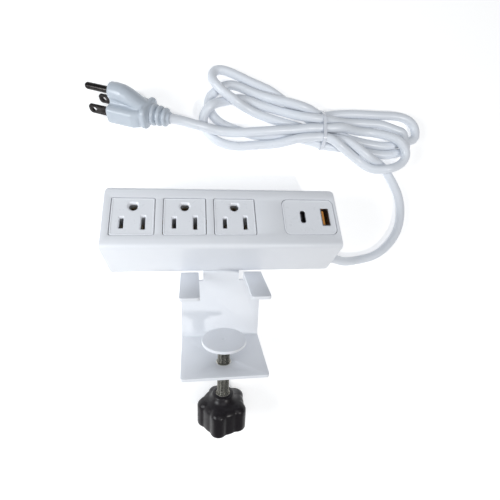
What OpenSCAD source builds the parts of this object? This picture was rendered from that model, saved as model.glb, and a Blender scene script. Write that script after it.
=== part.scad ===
// Desk power strip with an edge clamp: a slim body with three grounded outlets and two
// USB ports, a bent sheet bracket with a screw clamp, and a tied mains cord with its plug.
// It lies on its back: +Z is up from the surface, +Y points at the body's top edge.

/* [Body] */
// Length of the body, end to end
body_len = 147; // [147:1:156]
// Height of the outlet face, measured up the face
face_h = 43; // [42:0.5:48]
// Depth of the body behind the outlet face
body_depth = 38; // [37:0.5:44]
// Lean of the outlet face from upright
lean = 45; // [40:1:50]
// Thickness of the sheet front cover
cover_t = 1.2; // [1:0.1:1.5]
// Wall of the moulded rear housing
wall = 1.8; // [1.5:0.1:2]

/* [Outlets] */
// Centre of the first outlet, from the middle of the body
first_outlet_x = -56; // [-57:0.5:-55]
// Distance from one outlet to the next
outlet_pitch = 31; // [30:0.5:31.5]
// Side of a square outlet insert
outlet_side = 26; // [25:0.5:26]

/* [USB ports] */
// Centre of the USB bezel, from the middle of the body
usb_x = 54.2; // [53:0.1:54.4]
// Width of the USB bezel
bezel_w = 34.3; // [33:0.1:34.5]

/* [Clamp] */
// Width of the bracket
bracket_w = 55; // [52:1:60]
// Thickness of the bracket's sheet
sheet = 2; // [1.8:0.1:2.2]
// Opening between the underside of the tabs and the foot plate
throat = 48; // [46:1:52]
// Length of the two tabs that lie on the desk
tab_len = 40; // [36:1:44]
// Length of the foot plate
foot_len = 48; // [46:1:50]
// Diameter of the clamp pad
pad_d = 28.4; // [26:0.2:31]
// Drop of the pad's face below the tabs, as built
pad_drop = 31.4; // [30:0.2:32]
// Diameter of the clamp screw
screw_d = 8; // [8:1:8]

/* [Cord] */
// Outer diameter of the cord
cord_d = 6.6; // [6:0.1:7]

/* [Hidden] */
$fn = 48;
tiny = 0.01;        // overshoot of a cutting shape
fit_gap = 0.25;     // groove round an insert
screw_fit = 0.05;   // radial play of a running fit

// Body
edge_r = 3;         // rounding of the long edges
corner_r = 5;       // rounding of the corners at the ends
back_x = body_len / 2;
mid_y = face_h / 2;                 // centre line of the inserts, up the face
inner_face = body_depth - cover_t;  // underside of the outlet face
flange_t = 1.5;                     // lip behind an insert
flange_rim = 1;                     // how far an outlet's lip stands past the insert
cover_screw_d = 3;
screw_thin = 0.1;                   // a screw's shank under its nominal diameter
screw_room = 0.4;                   // a clearance hole over its screw
boss_d = 4.8;                       // screw boss behind the cover
boss_foot = wall + 8;
boss_bore = 12;
cover_screw_len = wall + 18;
head_d = 5;                         // countersunk head
head_h = 1.5;
drive_d = 2.4;                      // hexagon drive
drive_h = 1;
cover_screw_x = [-67.5, 32];
cover_screw_rise = outlet_side / 2 + flange_rim + 0.2 + boss_d / 2;
cover_screw_y = [mid_y - cover_screw_rise, mid_y + cover_screw_rise];

// Outlets, to the NEMA 5-15 pattern with the ground opening above
blade_gap = 12.7;
ground_rise = 11.9;
row_y = mid_y - 4.4;
blade_slot = 2.4;
line_slot_h = 7;
neutral_slot_h = 8.6;
ground_d = 5.4;
outlets = [for (i = [0:2]) first_outlet_x + i * outlet_pitch];
base_depth = 15;                          // of the block behind an outlet face
base_top = inner_face - flange_t;
base_back = base_top - base_depth;
bus_t = 1;                                // thickness of a busbar
bus_z = base_back - 2;                    // top of the busbars
bus_end_x = 27;                           // where the wires join the busbars
bus_w = 3;
bus_apart = 2.4;                          // line and neutral bars, from the blade row
leaf_t = 0.6;
leaf_w = 5;
leaf_apart = 1.2;
ground_sleeve = [6.6, 5];                 // outside and bore
leaf_reach = 11;                          // height of a contact leaf in its base

// USB ports
usb_a_x = usb_x + 10.8;
usb_c_x = usb_x - 4.2;
usb_a = [5.2, 12.8];        // outside of the type A shell
usb_c = [3.2, 9];           // outside of the type C shell
usb_shell_t = 0.35;
usb_a_depth = 13;
usb_c_depth = 9;
board_t = 1.6;
board_top = inner_face - usb_a_depth;

// Bracket, in the standing frame: the desk edge is the plane y = 0, the tabs' top z = 0
bracket_x = -1;
bend_in = 1;                      // inner radius of a bend
bend_out = bend_in + sheet;
tab_in = 15.4;                    // inner edge of a tab, from the bracket's middle
tongue_w = 24.6;                  // tongue that carries the body
tongue_len = 32;
notch_depth = 6.5;
tip_r = 2;
foot_top = -sheet - throat;
foot_under = foot_top - sheet;
screw_y = -31.7;                  // clamp screw axis, in front of the desk edge
tongue_screws = [[-7, 12], [7, 12], [0, 26]];
tongue_screw_d = 3;
tongue_head = [6, 1.8];           // diameter and height
tongue_nut = [6.3, 2.4];
turn = 90 - lean;                 // the tongue bends back by this much
tangent = bend_out * tan(turn / 2);

// Clamp screw, knob and pad
pad_top = -sheet - pad_drop;
pad_t = 2;
socket_t = 3.5;
socket_d = 13;
neck_d = 5;
knob_hub_top = -74;
knob_top = -81;
knob_bottom = -98.6;
lobes = 5;
lobe_at = 11.8;
lobe_r = 5.4;
knob_core_r = 14.4;
knob_turned = 37;
knob_edge = 1.4;
insert_d = 11.5;
insert_flange = 1.2;
screw_end = knob_bottom + 8;      // the screw and its insert stop inside the knob
bushing_d = 9.8;
bushing_rim = 0.5;
bushing_sleeve = 9;

// The strip lies on the body's back corner and on the bracket's lower bend
foot_c = [sheet - bend_out, foot_under + bend_out];
back_c = [(face_h - edge_r) * cos(lean) - edge_r * sin(lean),
          (face_h - edge_r) * sin(lean) + edge_r * cos(lean)];
lie = atan2(back_c[0] - foot_c[0], back_c[1] - foot_c[1]);
lift = back_c[0] * cos(lie) - back_c[1] * sin(lie) + edge_r;
// Furthest points up and down the surface, which set the origin in the middle
top_c = [(face_h - edge_r) * cos(lean) - (body_depth - edge_r) * sin(lean),
         (face_h - edge_r) * sin(lean) + (body_depth - edge_r) * cos(lean)];
top_reach = top_c[0] * sin(lie) + top_c[1] * cos(lie) + edge_r;
lobe_reach = max([for (i = [0:lobes - 1]) -lobe_at * sin(knob_turned + i * 360 / lobes)]);
low_reach = (screw_y - lobe_reach - lobe_r + knob_edge) * sin(lie) + knob_bottom * cos(lie);
shift_y = -(top_reach + low_reach) / 2;

// Cord: it leaves the end wall near the body's back, front corner
exit_in = 6;                     // from the lower face and from the back face
exit_depth = [exit_in * cos(lean) - exit_in * sin(lean),
              exit_in * sin(lean) + exit_in * cos(lean)];
exit = [back_x, exit_depth[0] * sin(lie) + exit_depth[1] * cos(lie) + shift_y,
        lift - exit_depth[0] * cos(lie) + exit_depth[1] * sin(lie)];
gland_d = 9.6;
gland_out = 1.5;
gland_in = 4;
sleeve_d = cord_d + 2;
wire_d = 1.8;
wire_start_x = back_x - wall - gland_in;
tail_route = [
    [76, exit[1] - 1, exit[2] - 0.4], [82, 33, 17], [89, 31, 12], [97, 31, 8], [107, 33, 5],
    [117, 37, 3.5], [127, 45, 3.4], [134, 55, 3.4], [137, 65, 3.4], [138, 74, 3.4],
    [136, 84, 3.4], [133, 92, 3.4], [129, 99, 3.4]
];
lead_route = [[-12, 128, 12], [-19, 129, 14.5], [-27, 130, 18.5]];
hank_h = 16;
tie_at = [76, 135];
hank_left = [[4, 168, 7], [-2, 122, 8], [-8, 134, 8]];
hank_right = [[146, 140, 8], [143, 125, 8], [131, 109, 8], [118, 106, 6.5]];
tie_w = 2.4;
tie_t = 1;
tie_room = 0.6;
tie_round = 11;                  // the bundle's half width at the tie
tie_span = 30;

// Plug: its blade row's middle on the plug's face, and how it lies
plug_at = [-71, 139.5, 10.5];
plug_turn = [34, 16, 164];
plug_len = 25;
plug_half = 12;
plug_thick = 12;
ridge_d = 11;
ridge_len = 9;
collar_d = 14.5;
collar_w = 20.5;
collar_t = 3;
pin_len = 19.2;
blade_len = 16;
blade = [1.5, 6.3];
pin_d = 4.8;
plug_axis = 1;                   // the cord's axis, from the blade row towards the pin
relief_len = 15;
relief_d = 12;
relief_end = plug_len + relief_len;
// A direction on the plug, turned as the plug lies
function plug_rot(v) =
    let (a = plug_turn[0], b = plug_turn[1], c = plug_turn[2],
         p = [v[0], v[1] * cos(a) - v[2] * sin(a), v[1] * sin(a) + v[2] * cos(a)],
         q = [p[0] * cos(b) + p[2] * sin(b), p[1], p[2] * cos(b) - p[0] * sin(b)])
    [q[0] * cos(c) - q[1] * sin(c), q[0] * sin(c) + q[1] * cos(c), q[2]];

// Frames
module lay_down() {
    translate([0, shift_y, lift]) rotate([lie - 90, 0, 0]) children();
}
module in_body() {
    lay_down() rotate([lean, 0, 0]) children();
}
module at_bracket() {
    lay_down() translate([bracket_x, 0, 0]) children();
}
module on_screw_axis() {
    at_bracket() translate([0, screw_y, 0]) children();
}
module at_outlet(i) {
    in_body() translate([outlets[i], mid_y, inner_face]) children();
}
module at_plug() {
    translate(plug_at) rotate(plug_turn) children();
}

// Flat outlines
module round_rect(size, r) {
    square([size[0] - 2 * r, size[1]], center = true);
    square([size[0], size[1] - 2 * r], center = true);
    for (x = [-1, 1], y = [-1, 1])
        translate([x * (size[0] / 2 - r), y * (size[1] / 2 - r)]) circle(r);
}
// A rectangle from y = low to y = high whose two upper corners are round
module arch_rect(w, low, high, r) {
    translate([-w / 2, low]) square([w, high - low - r]);
    translate([-w / 2 + r, low]) square([w - 2 * r, high - low]);
    for (x = [-1, 1]) translate([x * (w / 2 - r), high - r]) circle(r);
}
module ring_sector(inner, outer, start, sweep) {
    far = 2 * outer;
    intersection() {
        difference() {
            circle(outer);
            circle(inner);
        }
        polygon([[0, 0], far * [cos(start), sin(start)],
                 far * [cos(start + sweep / 2), sin(start + sweep / 2)],
                 far * [cos(start + sweep), sin(start + sweep)]]);
    }
}
// A profile drawn in the Y-Z plane, extruded along X about the middle
module along_x(w) {
    rotate([90, 0, 90]) translate([0, 0, -w / 2]) linear_extrude(w) children();
}

// Swept round tube: a ring of points at each place on the route
function unit(v) = v / norm(v);
function heading(p, i) = unit(p[min(i + 1, len(p) - 1)] - p[max(i - 1, 0)]);
function side(h) = unit(cross(h, abs(h[2]) > 0.9 ? [0, 1, 0] : [0, 0, 1]));
function ring(p, i, r, n) =
    let (h = heading(p, i), a = side(h), b = cross(h, a))
    [for (k = [0:n - 1]) p[i] + r * (cos(360 * k / n) * a + sin(360 * k / n) * b)];
module tube(p, d, n) {
    points = [for (i = [0:len(p) - 1]) each ring(p, i, d / 2, n)];
    walls = [for (i = [0:len(p) - 2], k = [0:n - 1])
        let (a = i * n + k, b = i * n + (k + 1) % n) each [[a, a + n, b + n], [a, b + n, b]]];
    caps = [[for (k = [0:n - 1]) k], [for (k = [n - 1:-1:0]) (len(p) - 1) * n + k]];
    polyhedron(points, concat(walls, caps));
}

// Body shells
module body_form() {
    intersection() {
        linear_extrude(body_depth) arch_rect(body_len, 0, face_h, corner_r);
        translate([0, face_h, 0]) rotate([90, 0, 0]) linear_extrude(face_h)
            mirror([0, 1]) arch_rect(body_len, -body_depth, 0, corner_r);
        along_x(body_len) translate([mid_y, body_depth / 2])
            round_rect([face_h, body_depth], edge_r);
    }
}
module body_hollow() {
    intersection() {
        translate([0, 0, wall]) linear_extrude(body_depth)
            arch_rect(body_len - 2 * wall, -1, face_h - wall, corner_r - wall);
        translate([0, face_h, 0]) rotate([90, 0, 0]) linear_extrude(face_h + 1)
            mirror([0, 1]) arch_rect(body_len - 2 * wall, -body_depth - 1, -wall, corner_r - wall);
    }
}
// The L-shaped zone of the front cover: the outlet face and the lower face
module cover_zone() {
    translate([-back_x - 1, -1, inner_face]) cube([body_len + 2, face_h + 2, cover_t + 1]);
    translate([-back_x - 1, -1, -1]) cube([body_len + 2, cover_t + 1, body_depth + 2]);
}
module insert_hole(w, r) {
    translate([0, 0, -1]) linear_extrude(cover_t + 2)
        round_rect([w + 2 * fit_gap, outlet_side + 2 * fit_gap], r + fit_gap);
}
module cover_screw_places() {
    for (x = cover_screw_x, y = cover_screw_y) translate([x, y, 0]) children();
}
module front_cover() color("whitesmoke") in_body() {
    difference() {
        intersection() {
            body_form();
            cover_zone();
        }
        for (x = outlets) translate([x, mid_y, inner_face]) insert_hole(outlet_side, 1);
        translate([usb_x, mid_y, inner_face]) insert_hole(bezel_w, 4);
    }
    cover_screw_places() translate([0, 0, boss_foot]) difference() {
        cylinder(h = inner_face - boss_foot, d = boss_d);
        translate([0, 0, -tiny]) cylinder(h = boss_bore, d = cover_screw_d);
    }
}
module rear_housing() color("gainsboro") in_body() difference() {
    body_form();
    body_hollow();
    cover_zone();
    cover_screw_places() {
        translate([0, 0, -1]) cylinder(h = wall + 2, d = cover_screw_d + screw_room);
        translate([0, 0, -tiny])
            cylinder(h = head_h, d1 = head_d + 0.2, d2 = cover_screw_d + screw_room);
    }
    for (p = tongue_screws) translate([bracket_x + p[0], p[1], -1])
        cylinder(h = wall + 2, d = tongue_screw_d + screw_room);
    translate([wire_start_x - 1, exit_in, exit_in]) rotate([0, 90, 0])
        cylinder(h = wall + gland_in + 2, d = sleeve_d);
}
module cover_screws() color("silver") in_body() cover_screw_places() {
    difference() {
        cylinder(h = head_h, d1 = head_d, d2 = cover_screw_d - screw_thin);
        translate([0, 0, -tiny]) cylinder(h = drive_h, d = drive_d, $fn = 6);
    }
    translate([0, 0, drive_h]) cylinder(h = cover_screw_len, d = cover_screw_d - screw_thin);
}

// Outlets
module socket_openings(z, h) {
    for (s = [[-blade_gap / 2, line_slot_h], [blade_gap / 2, neutral_slot_h]])
        translate([s[0] - blade_slot / 2, row_y - mid_y - s[1] / 2, z])
            cube([blade_slot, s[1], h]);
    translate([0, row_y - mid_y + ground_rise, z]) intersection() {
        cylinder(h = h, d = ground_d);
        translate([-ground_d / 2, -ground_d / 2, 0]) cube([ground_d, ground_d - 1, h]);
    }
}
module outlet_face(i) color("white") at_outlet(i) difference() {
    union() {
        linear_extrude(cover_t) round_rect([outlet_side, outlet_side], 1);
        translate([0, 0, -flange_t]) linear_extrude(flange_t)
            round_rect([outlet_side + 2.4, outlet_side + 2 * flange_rim], 1);
    }
    socket_openings(-flange_t - 1, cover_t + flange_t + 2);
}
module outlet_base(i) color("ivory") at_outlet(i) translate([0, 0, -flange_t - base_depth])
    difference() {
        linear_extrude(base_depth) round_rect([outlet_side - 1, outlet_side], 1.5);
        for (x = [-1, 1]) translate([x * blade_gap / 2 - 2, row_y - mid_y - 4.6, -1])
            cube([4, 9.2, base_depth + 2]);
        translate([0, row_y - mid_y + ground_rise, -1]) cylinder(h = base_depth + 2, d = 7.4);
    }

// Busbars: a bar behind the bases, with a pair of sprung leaves for each blade
module bar(y, x0) {
    translate([x0, y - bus_w / 2, bus_z - bus_t]) cube([bus_end_x - x0, bus_w, bus_t]);
}
module leaf_pair(x, y) {
    translate([x - bus_w / 2, y - bus_w / 2, bus_z - tiny]) cube([bus_w, bus_w, bus_t + 0.2]);
    for (s = [-1, 1])
        translate([x + s * leaf_apart - leaf_t / 2, row_y - leaf_w / 2, bus_z + bus_t])
            cube([leaf_t, leaf_w, leaf_reach]);
    translate([x - bus_w / 2, row_y - leaf_w / 2, bus_z + bus_t]) cube([bus_w, leaf_w, leaf_t]);
}
module line_busbar() color("goldenrod") in_body() {
    bar(row_y - bus_apart, outlets[0] - (blade_gap + bus_w) / 2);
    for (x = outlets) leaf_pair(x - blade_gap / 2, row_y - bus_apart);
}
module neutral_busbar() color("goldenrod") in_body() {
    bar(row_y + bus_apart, outlets[0] + (blade_gap - bus_w) / 2);
    for (x = outlets) leaf_pair(x + blade_gap / 2, row_y + bus_apart);
}
module ground_busbar() color("goldenrod") in_body() {
    bar(row_y + ground_rise, outlets[0] - bus_w);
    for (x = outlets) translate([x, row_y + ground_rise, bus_z - tiny]) difference() {
        cylinder(h = leaf_reach + bus_t, d = ground_sleeve[0]);
        translate([0, 0, bus_t]) cylinder(h = leaf_reach + 1, d = ground_sleeve[1]);
    }
}

// Wires from the cord's end to the busbars, soldered under the bars' ends
module wire(offset, y) {
    in_body() tube([[wire_start_x, exit_in + offset[0], exit_in + offset[1]],
        [wire_start_x - 6, exit_in + offset[0], exit_in + offset[1]],
        [bus_end_x + 14, 5 + offset[0], 5 + offset[1]],
        [bus_end_x + 6, y, 7 + offset[1]], [bus_end_x + 1.2, y, bus_z - 0.5]], wire_d, 8);
}
module line_wire() color("black") wire([-1.3, -1], row_y - bus_apart);
module neutral_wire() color("white") wire([1.3, -1], row_y + bus_apart);
module ground_wire() color("green") wire([0, 1.3], row_y + ground_rise);

// USB ports
module port_hole(size, r, z, h) {
    translate([0, 0, z]) linear_extrude(h) round_rect(size, r);
}
module usb_bezel() color("white") in_body() translate([0, mid_y, inner_face]) difference() {
    union() {
        translate([usb_x, 0, 0]) linear_extrude(cover_t)
            round_rect([bezel_w, outlet_side], 4);
        translate([usb_x - 0.4, 0, -flange_t]) linear_extrude(flange_t)
            round_rect([bezel_w + 0.8, outlet_side + 4], 4);
    }
    translate([usb_a_x, 0, 0]) port_hole(usb_a, 0.5, -flange_t - 1, 5);
    translate([usb_c_x, 0, 0]) port_hole(usb_c, usb_c[0] / 2 - tiny, -flange_t - 1, 5);
}
module port_shell(size, r, depth) {
    translate([0, 0, -depth]) linear_extrude(depth + cover_t - 0.2) difference() {
        round_rect(size, r);
        round_rect([size[0] - 2 * usb_shell_t, size[1] - 2 * usb_shell_t], r - usb_shell_t / 2);
    }
}
module usb_a_shell() color("silver") in_body() translate([usb_a_x, mid_y, inner_face])
    port_shell(usb_a, 0.5, usb_a_depth);
module usb_a_tongue() color("darkorange") in_body()
    translate([usb_a_x - usb_a[0] / 2 + usb_shell_t + 0.4, mid_y - 5.2, board_top])
        cube([1.6, 10.4, usb_a_depth - 0.6]);
module usb_c_shell() color("silver") in_body() translate([usb_c_x, mid_y, inner_face])
    port_shell(usb_c, usb_c[0] / 2 - tiny, usb_c_depth);
module usb_c_tongue() color("black") in_body()
    translate([usb_c_x - 0.35, mid_y - 3.3, board_top])
        cube([0.7, 6.6, usb_a_depth - 0.8]);
module charger_board() color("darkgreen") in_body()
    translate([usb_x - 17, mid_y - 14, board_top - board_t]) cube([33.5, 32, board_t]);
module charger_transformer() color("goldenrod") in_body()
    translate([usb_x - 14, mid_y - 4, board_top - board_t - 13]) cube([14, 16, 13]);
module charger_capacitors() color("navy") in_body()
    for (x = [5, 12.5]) translate([usb_x + x, mid_y + 8, board_top - board_t - 11])
        cylinder(h = 11, d = 6.3);

// Bracket
module plate_hole(d) {
    translate([0, 0, -1]) cylinder(h = sheet + 2, d = d);
}
module flat_tab(x0, x1, length) {
    w = x1 - x0;
    translate([(x0 + x1) / 2, -bend_in, 0]) linear_extrude(sheet)
        mirror([0, 1]) arch_rect(w, 0, length - bend_in, tip_r);
}
module clamp_bracket() color("whitesmoke") at_bracket() {
    // foot plate and back plate
    difference() {
        translate([0, 0, foot_top - sheet]) flat_tab(-bracket_w / 2, bracket_w / 2, foot_len);
        translate([0, screw_y, foot_under]) plate_hole(bushing_sleeve);
    }
    along_x(bracket_w) translate([-bend_in, foot_top + bend_in])
        ring_sector(bend_in, bend_out, -90, 90);
    translate([-bracket_w / 2, 0, foot_top + bend_in])
        cube([bracket_w, sheet, throat + sheet - notch_depth - bend_in]);
    // two tabs
    for (s = [-1, 1]) translate([s * (bracket_w / 2 + tab_in) / 2, 0, 0]) {
        w = bracket_w / 2 - tab_in;
        translate([0, 0, -sheet]) flat_tab(-w / 2, w / 2, tab_len);
        along_x(w) {
            translate([-bend_in, -bend_out]) ring_sector(bend_in, bend_out, 0, 90);
            translate([0, -notch_depth]) square([sheet, notch_depth - bend_out]);
        }
    }
    // tongue that carries the body
    along_x(tongue_w) {
        translate([0, -notch_depth]) square([sheet, notch_depth - tangent]);
        translate([bend_out, -tangent]) ring_sector(bend_in, bend_out, 180 - turn, turn);
    }
    rotate([lean, 0, 0]) difference() {
        translate([0, tangent, -sheet]) linear_extrude(sheet)
            arch_rect(tongue_w, 0, tongue_len - tangent, tip_r + 1);
        for (p = tongue_screws)
            translate([p[0], p[1], -sheet]) plate_hole(tongue_screw_d + screw_room);
    }
}
module bracket_screws() color("silver") at_bracket() rotate([lean, 0, 0])
    for (p = tongue_screws) translate([p[0], p[1], -sheet]) {
        translate([0, 0, -tongue_head[1]]) difference() {
            cylinder(h = tongue_head[1], d = tongue_head[0]);
            translate([0, 0, -tiny]) cylinder(h = drive_h, d = drive_d, $fn = 6);
        }
        cylinder(h = sheet + wall + tongue_nut[1] + 0.6, d = tongue_screw_d);
        translate([0, 0, sheet + wall]) cylinder(h = tongue_nut[1], d = tongue_nut[0], $fn = 6);
    }
module clamp_bushing() color("silver") on_screw_axis() difference() {
    union() {
        translate([0, 0, foot_under]) cylinder(h = sheet, d = bushing_sleeve);
        translate([0, 0, foot_top]) cylinder(h = bushing_rim, d = bushing_d);
    }
    translate([0, 0, foot_under - 1]) cylinder(h = sheet + 4, d = screw_d + 2 * screw_fit);
}

// Clamp screw, pad and knob
module pad_disc() color("whitesmoke") on_screw_axis() translate([0, 0, pad_top - pad_t])
    difference() {
        cylinder(h = pad_t, d = pad_d);
        translate([0, 0, pad_t - 0.4]) cylinder(h = 1, d = 1.6);
    }
module pad_socket() color("silver") on_screw_axis()
    translate([0, 0, pad_top - pad_t - socket_t]) difference() {
        cylinder(h = socket_t, d = socket_d);
        translate([0, 0, -1]) cylinder(h = socket_t - 0.5 + 1, d = neck_d + 2 * screw_fit);
    }
module clamp_screw() color("silver") on_screw_axis() {
    shoulder = pad_top - pad_t - socket_t - 0.1;
    translate([0, 0, shoulder - tiny]) cylinder(h = socket_t - 0.6, d = neck_d);
    translate([0, 0, screw_end]) cylinder(h = shoulder - screw_end, d = screw_d);
}
module star_outline(shrink) {
    circle(knob_core_r - shrink);
    for (i = [0:lobes - 1]) rotate(knob_turned + i * 360 / lobes)
        translate([lobe_at, 0]) circle(lobe_r - shrink);
}
module star_knob() color([0.1, 0.1, 0.1]) on_screw_axis() difference() {
    union() {
        translate([0, 0, knob_bottom + knob_edge]) linear_extrude(knob_top - knob_bottom - knob_edge)
            star_outline(0);
        translate([0, 0, knob_bottom]) linear_extrude(knob_edge + tiny) star_outline(knob_edge);
        translate([0, 0, knob_top]) linear_extrude(knob_edge) star_outline(knob_edge);
        rotate_extrude() polygon([[0, knob_top], [knob_core_r - knob_edge, knob_top + knob_edge],
            [insert_d / 2 + 1.2, knob_hub_top - 0.8], [insert_d / 2 + 0.8, knob_hub_top],
            [0, knob_hub_top]]);
    }
    translate([0, 0, screw_end]) cylinder(h = 40, d = insert_d - 2);
    translate([0, 0, knob_hub_top - insert_flange]) cylinder(h = 4, d = insert_d);
}
module knob_insert() color("silver") on_screw_axis() difference() {
    union() {
        translate([0, 0, screw_end]) cylinder(h = knob_hub_top - screw_end, d = insert_d - 2);
        translate([0, 0, knob_hub_top - insert_flange]) cylinder(h = insert_flange, d = insert_d);
    }
    translate([0, 0, screw_end - 1]) cylinder(h = 40, d = screw_d);
}

// Cord
module cord_bushing() color("white") in_body()
    translate([back_x, exit_in, exit_in]) rotate([0, 90, 0]) difference() {
        union() {
            cylinder(h = gland_out, d = gland_d);
            translate([0, 0, -wall - gland_in]) cylinder(h = wall + gland_in + tiny, d = sleeve_d);
        }
        translate([0, 0, -10]) cylinder(h = 20, d = cord_d);
    }
module cord_tail() color("white")
    tube(concat([exit - [wall + gland_in - 1, 0, 0], exit], tail_route), cord_d, 10);
module cord_hank() color("white") linear_extrude(hank_h) {
    hull() {
        translate(tie_at) circle(tie_round, $fn = 32);
        for (p = hank_left) translate([p[0], p[1]]) circle(p[2], $fn = 32);
    }
    hull() {
        translate(tie_at) circle(tie_round, $fn = 32);
        for (p = hank_right) translate([p[0], p[1]]) circle(p[2], $fn = 32);
    }
}
module cord_lead() color("white")
    tube(concat(lead_route, [plug_at + plug_rot([-relief_end, 0, plug_axis])]), cord_d, 10);
module cord_tie() color([0.9, 0.9, 0.92]) translate([tie_at[0], tie_at[1], 0])
    along_x(tie_w) translate([0, hank_h / 2 + tie_room]) difference() {
        round_rect([tie_span, hank_h + 2 * tie_room], 4);
        round_rect([tie_span - 2 * tie_t, hank_h + 2 * tie_room - 2 * tie_t], 3);
    }

// Plug: a block round the two blades, a ridge that runs back from the ground pin, and a collar
module plug_round(at, d, h) {
    translate(at) rotate([0, -90, 0]) cylinder(h = h, d = d, $fn = 24);
}
module plug_body() color("white") at_plug() {
    rotate([0, -90, 0]) linear_extrude(plug_len - collar_t)
        rotate(90) round_rect([2 * plug_half, plug_thick], 4);
    hull() {
        for (z = [0, ground_rise]) plug_round([0, 0, z], ridge_d, 1);
        translate([-ridge_len, 0, ground_rise - 0.5]) sphere(d = ridge_d, $fn = 24);
        plug_round([-plug_len + 1, 0, plug_axis], 13, 1);
    }
    hull() {
        plug_round([-plug_len + collar_t, 0, plug_axis], collar_d, collar_t);
        translate([-plug_len, -collar_w / 2, plug_axis - 2]) cube([collar_t, collar_w, 4]);
    }
}
module plug_strain_relief() color("white") at_plug() translate([-plug_len, 0, plug_axis])
    rotate([0, -90, 0]) {
        cylinder(h = relief_len, d1 = relief_d, d2 = cord_d + 2.6);
        for (i = [0:2]) translate([0, 0, 1.5 + i * 4.6]) cylinder(h = 2.6, d = relief_d + 2 - i * 1.2);
    }
module plug_blades() color("silver") at_plug() for (s = [-1, 1])
    translate([-6, s * blade_gap / 2 - blade[0] / 2, -blade[1] / 2]) difference() {
        cube([blade_len + 6, blade[0], blade[1]]);
        translate([6 + 11.7, -1, blade[1] / 2]) rotate([-90, 0, 0]) cylinder(h = 4, d = 3);
    }
module plug_ground_pin() color("silver") at_plug() translate([-6, 0, ground_rise])
    rotate([0, 90, 0]) {
        cylinder(h = pin_len + 6 - pin_d / 2, d = pin_d);
        translate([0, 0, pin_len + 6 - pin_d / 2]) sphere(d = pin_d);
    }

front_cover();
rear_housing();
cover_screws();
outlet_face(0);  // outlet_face_1
outlet_face(1);  // outlet_face_2
outlet_face(2);  // outlet_face_3
outlet_base(0);  // outlet_base_1
outlet_base(1);  // outlet_base_2
outlet_base(2);  // outlet_base_3
line_busbar();
neutral_busbar();
ground_busbar();
line_wire();
neutral_wire();
ground_wire();
usb_bezel();
usb_a_shell();
usb_a_tongue();
usb_c_shell();
usb_c_tongue();
charger_board();
charger_transformer();
charger_capacitors();
clamp_bracket();
bracket_screws();
clamp_bushing();
pad_disc();
pad_socket();
clamp_screw();
star_knob();
knob_insert();
cord_bushing();
cord_tail();
cord_hank();
cord_lead();
cord_tie();
plug_body();
plug_strain_relief();
plug_blades();
plug_ground_pin();
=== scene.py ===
"""Looks of the desk power strip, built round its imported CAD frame."""
import math

import bmesh
import bpy
import numpy as np
from mathutils import Matrix, Vector


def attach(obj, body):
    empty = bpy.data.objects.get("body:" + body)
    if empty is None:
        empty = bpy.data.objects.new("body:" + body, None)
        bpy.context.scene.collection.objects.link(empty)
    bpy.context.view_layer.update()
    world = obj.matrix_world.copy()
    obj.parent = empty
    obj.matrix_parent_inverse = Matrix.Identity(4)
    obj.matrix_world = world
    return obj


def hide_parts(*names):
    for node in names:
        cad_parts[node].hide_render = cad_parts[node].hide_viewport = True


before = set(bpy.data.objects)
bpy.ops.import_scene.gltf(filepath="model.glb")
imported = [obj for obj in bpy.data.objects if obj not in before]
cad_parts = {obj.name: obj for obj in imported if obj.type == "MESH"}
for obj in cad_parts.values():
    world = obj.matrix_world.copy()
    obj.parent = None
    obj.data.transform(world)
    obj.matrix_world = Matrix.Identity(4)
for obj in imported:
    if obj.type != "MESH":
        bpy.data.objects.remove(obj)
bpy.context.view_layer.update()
MM = 0.001

# ---------------------------------------------------------------- frames, in millimetres
LEAN = 45.0
BODY_LEN, FACE_H, DEPTH = 147.0, 43.0, 38.0
COVER_T, MID_Y = 1.2, FACE_H / 2
SHEET, THROAT, EDGE_R, BEND_OUT = 2.0, 48.0, 3.0, 3.0


def corner(y, z):
    """A point of the body's profile, in the standing frame."""
    a = math.radians(LEAN)
    return y * math.cos(a) - z * math.sin(a), y * math.sin(a) + z * math.cos(a)


foot_c = (SHEET - BEND_OUT, -2 * SHEET - THROAT + BEND_OUT)
back_c = corner(FACE_H - EDGE_R, EDGE_R)
LIE = math.atan2(back_c[0] - foot_c[0], back_c[1] - foot_c[1])
LIFT = back_c[0] * math.cos(LIE) - back_c[1] * math.sin(LIE) + EDGE_R
SHIFT_Y = 27.0885                # centres the body and the clamp on the origin
BRACKET_X, SCREW_Y = -1.0, -31.7
PLUG_AT, PLUG_TURN = (-71.0, 139.5, 10.5), (34, 16, 164)


def turned(x, y, z):
    """The rotation that OpenSCAD calls rotate([x, y, z])."""
    x, y, z = (math.radians(v) for v in (x, y, z))
    return Matrix.Rotation(z, 4, "Z") @ Matrix.Rotation(y, 4, "Y") @ Matrix.Rotation(x, 4, "X")


LAY = Matrix.Translation((0, SHIFT_Y, LIFT)) @ turned(math.degrees(LIE) - 90, 0, 0)
BODY = LAY @ turned(LEAN, 0, 0)
AXIS = LAY @ Matrix.Translation((BRACKET_X, SCREW_Y, 0))
PLUG = Matrix.Translation(PLUG_AT) @ turned(*PLUG_TURN)
TABLE = Matrix.Identity(4)


# ---------------------------------------------------------------- materials
def socket(shader, name, value):
    if name in shader.inputs:
        shader.inputs[name].default_value = value


OCTAVES = 3                      # of the mottling
BUMP_OCTAVES = 2
TINT_SHARE = 0.35
ROUGH_SPOTS = 3.1                # the roughness is finer than the mottling by this


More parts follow.
